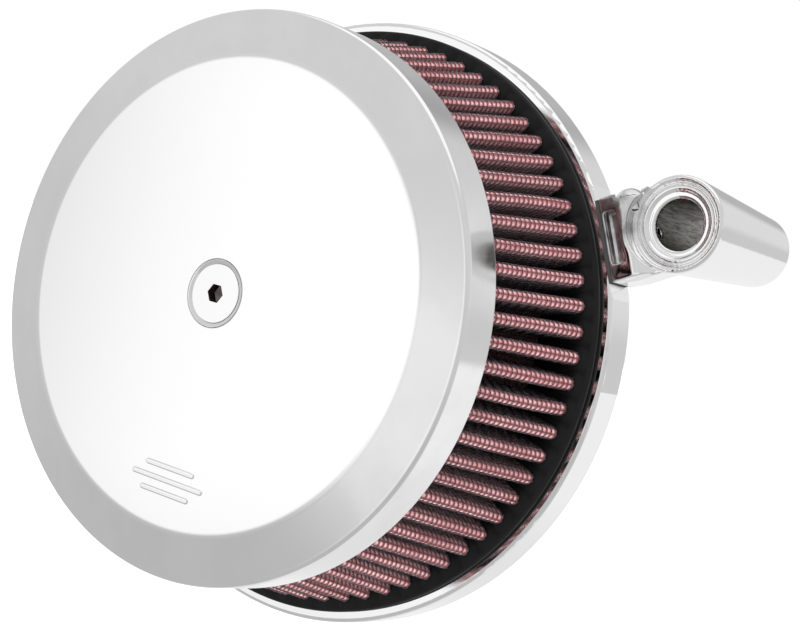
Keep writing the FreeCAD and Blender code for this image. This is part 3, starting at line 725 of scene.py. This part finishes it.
def make_element():
    pleats = PLEAT_COUNT // SECTORS
    for sector in range(SECTORS):
        first = sector * pleats
        wire_cloth(f"outer_cloth_{sector}", CLOTH_INSET, first, pleats,
                   CELLS_PER_PLEAT, CELL_ROWS, 4, "outer_mesh")
        cotton_sector(f"cotton_{sector}", first, pleats)
    inner_inset = MEDIA_INSET + MEDIA_THICKNESS + 0.15 * MM
    for half in range(2):
        first = half * PLEAT_COUNT // 2
        wire_cloth(f"inner_cloth_{half}", inner_inset, first, PLEAT_COUNT // 2,
                   INNER_CELLS, INNER_ROWS, 3, "inner_mesh")
    end_cap("potted_rear_cap", rear_cap_high.x, rear_cap_low.y, rear_cap_high.y,
            1.0, REAR_CUFF, "rear_end_cap")
    end_cap("potted_front_cap", front_cap_high.x, front_cap_high.y, front_cap_low.y,
            FRONT_SCALE, FRONT_CUFF, "front_end_cap")


# ---- castings
def cast_arm(side_name):
    """The arm with the soft blends of a polished casting; its bore and bolt seat stay crisper."""
    source = nodes[side_name + "_breather_arm"]
    remesh = {"mode": "VOXEL", "voxel_size": CAST_VOXEL, "use_smooth_shade": True}
    arm = evaluated_copy(source, side_name + "_cast_arm", ("REMESH", remesh))
    mesh = arm.data
    side = 1.0 if side_name == "right" else -1.0
    places = np.empty(len(mesh.vertices) * 3, np.float32)
    mesh.vertices.foreach_get("co", places)
    places = places.reshape(-1, 3)
    from_bore = np.hypot(places[:, 0] - side * EAR_CENTRE.x, places[:, 2] - EAR_CENTRE.z)
    away = np.clip((from_bore - CRISP_RADIUS) / CRISP_FADE, 0.0, 1.0)
    weights = np.round(CRISP_WEIGHT + (1.0 - CRISP_WEIGHT) * away, 1)
    group = arm.vertex_groups.new(name="blend")
    for level in np.unique(weights):
        group.add(np.nonzero(weights == level)[0].tolist(), float(level), "REPLACE")
    apply_modifier(arm, "SMOOTH", {"iterations": 9, "factor": 0.55, "vertex_group": "blend"})
    arm.data.materials.clear()
    arm.data.materials.append(arm_chrome)
    return finish(arm, "mounting_base", "arm_chrome", side_name + "_breather_arm")


def apply_modifier(piece, kind, settings):
    """Applies one modifier to the piece itself, so that it can read a vertex group."""
    made = piece.modifiers.new(kind, kind)
    for key, value in settings.items():
        setattr(made, key, value)
    bpy.context.view_layer.update()
    graph = bpy.context.evaluated_depsgraph_get()
    applied = bpy.data.meshes.new_from_object(piece.evaluated_get(graph))
    piece.modifiers.clear()
    piece.data = applied


# ---- screws
def threaded_screw(profile, thread, core_radius, pitch):
    """Vertices and quads of a screw about Y. profile is (radius, y) from the tip to the head,
    and thread is the (start, end) of the threaded stretch, where a helical groove is cut."""
    rows = []
    for (r0, y0), (r1, y1) in zip(profile, profile[1:]):
        length = math.hypot(r1 - r0, y1 - y0)
        count = max(1, int(math.ceil(length / (pitch / ROWS_PER_THREAD))))
        for k in range(count):
            rows.append((r0 + (r1 - r0) * k / count, y0 + (y1 - y0) * k / count))
    rows.append(profile[-1])
    radius, y = np.array(rows).T
    angles = np.arange(SCREW_SEGMENTS) * 2 * math.pi / SCREW_SEGMENTS
    phase = (y[:, None] / pitch + angles[None, :] / (2 * math.pi)) % 1.0
    ridge = np.clip(1.6 - np.abs(phase - 0.5) * 4.0, 0.0, 1.0)
    start, end = min(thread), max(thread)
    inside = np.clip((y - start) / pitch, 0, 1) * np.clip((end - y) / pitch, 0, 1)
    depth = np.maximum(radius - core_radius, 0.0) * inside
    r = radius[:, None] - depth[:, None] * (1.0 - ridge)
    height = np.broadcast_to(y[:, None], r.shape)
    vertices = np.stack([r * np.cos(angles), height, r * np.sin(angles)], -1)
    faces = grid_faces(len(y), SCREW_SEGMENTS, close_columns=True)
    return vertices.reshape(-1, 3), faces, len(y)


def hex_socket(piece, across_flats, front, depth, x=0.0, z=0.0):
    """Cuts a hex socket with a drill-point floor into a screw's head."""
    corner = across_flats / math.sqrt(3)
    turns = np.arange(6) * math.pi / 3
    reach = (front - 1.0 * MM, front + depth)
    vertices = []
    for y in reach:
        vertices += [(x + corner * math.cos(turn), y, z + corner * math.sin(turn))
                     for turn in turns]
    vertices += [(x, reach[0], z), (x, reach[1] + corner * 0.5, z)]
    faces = [(i, (i + 1) % 6, 6 + (i + 1) % 6) for i in range(6)]
    faces += [(i, 6 + (i + 1) % 6, 6 + i) for i in range(6)]
    faces += [((i + 1) % 6, i, 12) for i in range(6)]
    faces += [(6 + i, 6 + (i + 1) % 6, 13) for i in range(6)]
    cutter = new_object("socket_cutter", vertices, np.array(faces), screw_chrome, smooth=False)
    subtract = {"operation": "DIFFERENCE", "object": cutter, "solver": "EXACT"}
    cut = evaluated_copy(piece, piece.name, ("BOOLEAN", subtract))
    bpy.data.objects.remove(cutter)
    return cut


def close_ends(vertices, faces, rows):
    """Splits a screw's grid into triangles and closes each end with a fan round a centre point."""
    first = vertices[:SCREW_SEGMENTS].mean(0)
    last = vertices[-SCREW_SEGMENTS:].mean(0)
    a, b = len(vertices), len(vertices) + 1
    around = np.arange(SCREW_SEGMENTS)
    after = (around + 1) % SCREW_SEGMENTS
    top = (rows - 1) * SCREW_SEGMENTS
    start = np.stack([after, around, np.full(SCREW_SEGMENTS, a)], -1)
    end = np.stack([top + around, top + after, np.full(SCREW_SEGMENTS, b)], -1)
    split = np.concatenate([faces[:, [0, 1, 2]], faces[:, [0, 2, 3]], start, end])
    return np.concatenate([vertices, [first, last]]), split


def make_screw(name, profile, thread, core_radius, pitch, socket, socket_depth, metal,
               x=0.0, z=0.0):
    """A threaded screw with its head at the profile's end and its axis at x, z."""
    vertices, faces, rows = threaded_screw(profile, thread, core_radius, pitch)
    vertices, faces = close_ends(vertices, faces, rows)
    vertices = vertices + np.array([x, 0.0, z])
    raw = new_object(name, vertices, faces, metal)
    front = profile[-1][1]
    screw = hex_socket(raw, socket, front, socket_depth, x, z)
    bpy.data.objects.remove(raw)
    screw.name = name
    mark_sharp(screw, 28)
    return screw


def make_cover_screw():
    front, tip = screw_low.y, screw_high.y
    head = screw_high.x
    profile = [(COVER_THREAD - 1.0 * MM, tip), (COVER_THREAD, tip - 1.0 * MM),
               (COVER_THREAD, front + (head - COVER_THREAD) / HEAD_SLOPE),
               (head - 0.25 * MM, front + 0.32 * MM), (head, front + 0.12 * MM),
               (head - 0.15 * MM, front)]
    screw = make_screw("cover_screw_threaded", profile, (tip + MM, front + COVER_SHANK),
                       COVER_THREAD - COVER_THREAD_DEPTH, COVER_THREAD_PITCH,
                       COVER_HEX, COVER_HEX_DEPTH, screw_chrome)
    finish(screw, "screw", "screw_steel", "cover_screw")


def make_throttle_screws():
    front, tip = throttle_low.y, throttle_high.y
    thread, shank, head = THROTTLE_THREAD, THROTTLE_SHANK, THROTTLE_HEAD
    start = THROTTLE_THREAD_START
    profile = [(THROTTLE_TIP, tip), (thread, tip - 0.8 * MM), (thread, start + 0.3 * MM),
               (shank, start), (shank, front + (head - shank) / HEAD_SLOPE),
               (head - 0.1 * MM, front + 0.2 * MM), (head - 0.15 * MM, front)]
    for index, degrees in enumerate(THROTTLE_ANGLES):
        turn = math.radians(degrees)
        screw = make_screw(f"throttle_screw_{index}", profile, (tip, start),
                           thread - THROTTLE_THREAD_DEPTH, THROTTLE_THREAD_PITCH,
                           THROTTLE_HEX, THROTTLE_HEX_DEPTH, dark_steel,
                           THROTTLE_CIRCLE * math.cos(turn), THROTTLE_CIRCLE * math.sin(turn))
        finish(screw, "mounting_base", "plain_steel", "throttle_screws")


# ---- cover
def quarter_bend(centre, radius, start, steps):
    """Profile points of a quarter circle that starts at an angle in degrees."""
    turns = np.radians(np.linspace(start, start + 90.0, steps + 1))
    return [(centre[0] + radius * math.cos(turn), centre[1] + radius * math.sin(turn))
            for turn in turns]


def with_stays(profile, reach):
    """Adds points close to both ends of each long edge, so that flats stay flat when smoothed."""
    points = []
    for i, (r0, y0) in enumerate(profile):
        r1, y1 = profile[(i + 1) % len(profile)]
        length = math.hypot(r1 - r0, y1 - y0)
        points.append((r0, y0))
        if length > 4 * reach:
            for share in (reach / length, 1.0 - reach / length):
                points.append((r0 + (r1 - r0) * share, y0 + (y1 - y0) * share))
    return points


def turned_piece(name, profile, metal, segments):
    """A closed profile of (radius, y) points turned round the Y axis."""
    radius, y = np.array(profile).T
    angles = np.arange(segments) * 2 * math.pi / segments
    height = np.broadcast_to(y[:, None], (len(y), segments))
    reach = radius[:, None]
    vertices = np.stack([reach * np.cos(angles), height, reach * np.sin(angles)], -1)
    faces = grid_faces(len(y), segments, close_rows=True, close_columns=True)
    piece = new_object(name, vertices.reshape(-1, 3), faces, metal)
    mark_sharp(piece, 35)
    return piece


def make_cover():
    """The cover as one turned profile, from its screw pocket over the disc and round the back."""
    front, back, rim = cover_low.y, cover_high.y, cover_high.x
    inside = front + COVER_SKIN
    lip_back = inside + LIP_HEIGHT
    shoulder = front + RIM_SET_BACK
    floor = washer_high.y
    boss = floor + BOSS_FLOOR
    step = []
    for share in np.linspace(0.0, 1.0, 9):
        step.append((DISC_RADIUS + (2.0 * share - 1.0) * MM, front + DISC_STEP * share ** 2))
    profile = quarter_bend((SCREW_POCKET_RADIUS + POCKET_BEND, front + POCKET_BEND),
                           POCKET_BEND, 180.0, 4)
    profile += step
    profile += quarter_bend((rim - COVER_EDGE, shoulder + COVER_EDGE), COVER_EDGE, -90.0, 8)
    profile += quarter_bend((rim - BACK_BEND, back - BACK_BEND), BACK_BEND, 0.0, 3)
    profile += [(rim - COVER_WALL, back), (rim - COVER_WALL, inside), (LIP_RADII[0], inside),
                (LIP_RADII[0], lip_back), (LIP_RADII[1], lip_back), (LIP_RADII[1], front + RECESS),
                (BOSS_RADIUS, front + RECESS), (BOSS_RADIUS, boss),
                (SCREW_HOLE_RADIUS, boss), (SCREW_HOLE_RADIUS, floor),
                (SCREW_POCKET_RADIUS, floor)]
    cover = turned_piece("polished_cover", with_stays(profile, 0.25 * MM), cover_chrome,
                         TURNED_SEGMENTS)
    finish(cover, "cover", "chrome", "front_cover")


def make_washer():
    """The cup round the screw's head: a shallow dish, then the seat that the head sinks into."""
    front, back, rim = washer_low.y, washer_high.y, washer_high.x
    seat = screw_low.y + SEAT_SINK
    profile = [(rim, back), (WASHER_HOLE_RADIUS, back), (DISH_START, seat)]
    for share in (0.2, 0.4, 0.6, 0.8, 1):
        profile.append((DISH_START + DISH_WIDTH * share, seat - DISH_RISE * share))
    profile += [(rim - 0.05 * MM, front), (rim, front + 0.2 * MM)]
    washer = turned_piece("dished_cup_washer", with_stays(profile, 0.2 * MM), screw_chrome,
                          WASHER_SEGMENTS)
    finish(washer, "cup_washer", "screw_steel", "screw_cup_washer")


# ---- badge
def rounded_bar(name, length, z, front, height):
    """A slim bar with round ends and a domed face, standing proud of the cover."""
    around = 24
    turns = np.linspace(0, 2 * math.pi, around, endpoint=False) + math.pi / around
    ends = np.sign(np.cos(turns)) * length / 2
    rows = []
    for step in np.linspace(0.0, math.pi / 2, 7):
        dome = math.cos(step) if step < math.pi / 2 else 0.0
        half = BADGE_HALF_WIDTH * (BADGE_TOP_SHARE + (1.0 - BADGE_TOP_SHARE) * dome)
        lift = height * math.sin(step)
        rows.append(np.stack([ends + half * np.cos(turns), np.full(around, front - lift),
                              z + half * np.sin(turns)], -1))
    face = rows[-1]
    middle = face.mean(0, keepdims=True)
    for share in (0.5, 0.02):
        rows.append(middle + (face - middle) * np.array([1.0, 1.0, share]))
    faces = grid_faces(len(rows), around, close_columns=True)
    return new_object(name, np.concatenate(rows), faces, badge_chrome)


def make_badge():
    height = badge_high.y - badge_low.y
    for index, (z, length) in enumerate(BADGE_BARS):
        bar = rounded_bar(f"badge_bar_{index}", length * MM, z * MM, badge_high.y, height)
        finish(bar, "cover", "badge_metal", "cover_badge")


# ---- carried-over nodes
def give(metal, *names):
    """Gives CAD nodes that stay in view their finish."""
    for name in names:
        slots = nodes[name].data.materials
        slots.clear()
        slots.append(metal)


def dress_frame():
    give(chrome, "back_plate")
    give(arm_chrome, "right_arm_plug", "left_arm_plug")
    give(turned_aluminium, "velocity_ring")
    give(zinc_plate, "support_bridge")
    give(dark_steel, "bridge_screws", "arm_screws")
    give(gasket_sheet, "throttle_gasket", "right_arm_gasket", "left_arm_gasket")
    give(seal_nitrile, "cover_seal", "right_standoff_seal", "left_standoff_seal")


# ---- studio
def studio_light():
    """A pale room whose brightness depends on direction: turn is measured from the front towards
    the right and rise from the horizon. The dark patches of its front half act on the first
    reflection only."""
    world = bpy.data.worlds.new("studio")
    world.use_nodes = True
    bpy.context.scene.world = world
    g = Graph(world.node_tree)
    axes = g.node("SeparateXYZ")
    g.feed(axes.inputs[0], g.node("TexCoord").outputs["Generated"])
    x, y, z = axes.outputs
    path = g.node("LightPath")
    degree = 180 / math.pi
    turn = g.math("MULTIPLY", g.math("ARCTAN2", x, g.math("MULTIPLY", y, -1.0)), degree)
    rise = g.math("MULTIPLY", g.math("ARCSINE", z), degree)

    def box_mask(left, right, low, high, soft_side, soft_end):
        inside = g.math("MULTIPLY", g.smooth(turn, left - soft_side, left + soft_side),
                        g.smooth(turn, right - soft_side, right + soft_side, 1.0, 0.0))
        upright = g.math("MULTIPLY", g.smooth(rise, low - soft_end, low + soft_end),
                         g.smooth(rise, high - soft_end, high + soft_end, 1.0, 0.0))
        return g.math("MULTIPLY", inside, upright)

    # the front half of the room: mid grey, a little lighter above than below
    front = g.smooth(rise, -28.0, -8.0, 0.47, 0.55)
    front = g.math("ADD", front, g.smooth(rise, 0.0, 20.0, 0.0, 0.07))
    card = box_mask(*CARD)
    glow = g.math("MULTIPLY", box_mask(*GLOW), g.math("SUBTRACT", 1.0, card))
    front = g.math("MULTIPLY_ADD", card, CARD_GAIN, front)
    front = g.math("MULTIPLY_ADD", glow, GLOW_GAIN, front)
    shade = g.math("MAXIMUM", box_mask(*SIDE_SHADE), box_mask(*LOW_SHADE))
    first = g.math("LESS_THAN", path.outputs["Ray Depth"], 1.5)
    shading = g.math("MULTIPLY", shade, g.math("MULTIPLY", first, SHADE_LOSS))
    front = g.math("MULTIPLY", front, g.math("ADD", shading, 1.0))

    # the rear half: pale floor below the horizon, grey just above it, lighter from 6 to 34 degrees
    rear = g.smooth(rise, -3.6, -1.6, 0.84, 0.57)
    rear = g.math("ADD", rear, g.smooth(rise, -33.0, -22.0, -0.1, 0.0))
    rear = g.math("ADD", rear, g.smooth(rise, 6.0, 14.0, 0.0, 0.12))
    rear = g.math("ADD", rear, g.smooth(rise, 26.0, 34.0, 0.0, -0.1))
    rear = g.math("MULTIPLY_ADD", box_mask(*REAR_SHADE), REAR_SHADE_LOSS, rear)

    behind = g.smooth(g.math("ABSOLUTE", turn), 95.0, 125.0)
    room = g.math("ADD", g.math("MULTIPLY", rear, behind),
                  g.math("MULTIPLY", front, g.math("SUBTRACT", 1.0, behind)))
    room = g.math("ADD", room, g.smooth(rise, 48.0, 58.0, 0.0, 0.35))
    lit = g.math("MULTIPLY_ADD", path.outputs["Is Diffuse Ray"], -0.65, 1.0)
    backdrop = g.node("Background")
    backdrop.inputs["Color"].default_value = grey(1.0)
    lighting = g.node("Background")
    g.feed(lighting.inputs["Color"], grey(1.0))
    g.feed(lighting.inputs["Strength"], g.math("MULTIPLY", lit, g.math("DIVIDE", room, 0.92)))
    mixed = g.node("MixShader")
    g.feed(mixed.inputs[0], path.outputs["Is Camera Ray"])
    g.feed(mixed.inputs[1], lighting.outputs[0])
    g.feed(mixed.inputs[2], backdrop.outputs[0])
    output = g.node("OutputWorld")
    g.feed(output.inputs["Surface"], mixed.outputs[0])


def soft_lamp(name, place, size, power):
    """A square light that shines at the object and isn't mirrored in its chrome."""
    data = bpy.data.lights.new(name, "AREA")
    data.size = size
    data.energy = power
    lamp = bpy.data.objects.new(name, data)
    bpy.context.scene.collection.objects.link(lamp)
    lamp.location = place
    lamp.rotation_euler = Vector(place).to_track_quat("Z", "Y").to_euler()
    lamp.visible_glossy = False


def pale_floor():
    """A plain floor far below the object, which glows so that it stays white."""
    made, g, shader, place = material("pale_floor", Roughness=0.8)
    g.feed(shader.inputs["Base Color"], g.mix(g.noise(place, 3.0), grey(0.88), grey(0.9)))
    shader.inputs["Emission Color"].default_value = grey(1.0)
    shader.inputs["Emission Strength"].default_value = 1.0
    height = plate_low.z - FLOOR_DROP
    side = np.linspace(-FLOOR_REACH, FLOOR_REACH, 9)
    px, py = np.meshgrid(side, side, indexing="ij")
    vertices = np.stack([px.ravel(), py.ravel(), np.full(px.size, height)], -1)
    floor = new_object("studio_floor", vertices, grid_faces(9, 9)[:, ::-1], made, closed=False)
    floor.visible_glossy = False


def camera():
    """Looks past the right front, a little from above, with a slight roll."""
    data = bpy.data.cameras.new("camera")
    data.lens = 86.7
    data.sensor_width = 36.0
    data.clip_start = 0.01
    made = bpy.data.objects.new("camera", data)
    bpy.context.scene.collection.objects.link(made)
    right = Vector((0.7958, 0.5524, 0.2482)).normalized()
    back = Vector((0.5628, -0.8259, 0.0336))
    back = (back - right * back.dot(right)).normalized()
    up = back.cross(right)
    turn = Matrix((right, up, back)).transposed()
    made.matrix_world = Matrix.Translation((0.3341, -0.4726, 0.0237)) @ turn.to_4x4()
    bpy.context.scene.camera = made


# ---- everything
dress_frame()
make_element()
for arm_side in ("right", "left"):
    cast_arm(arm_side)
make_cover()
make_washer()
make_cover_screw()
make_throttle_screws()
make_badge()
studio_light()
soft_lamp("key_lamp", (0.15, -0.6, 0.95), 0.5, 12.0)
soft_lamp("side_lamp", (1.0, -0.5, 0.3), 0.6, 3.0)
pale_floor()
camera()
bpy.context.scene.view_settings.view_transform = "Standard"

bpy.context.view_layer.update()
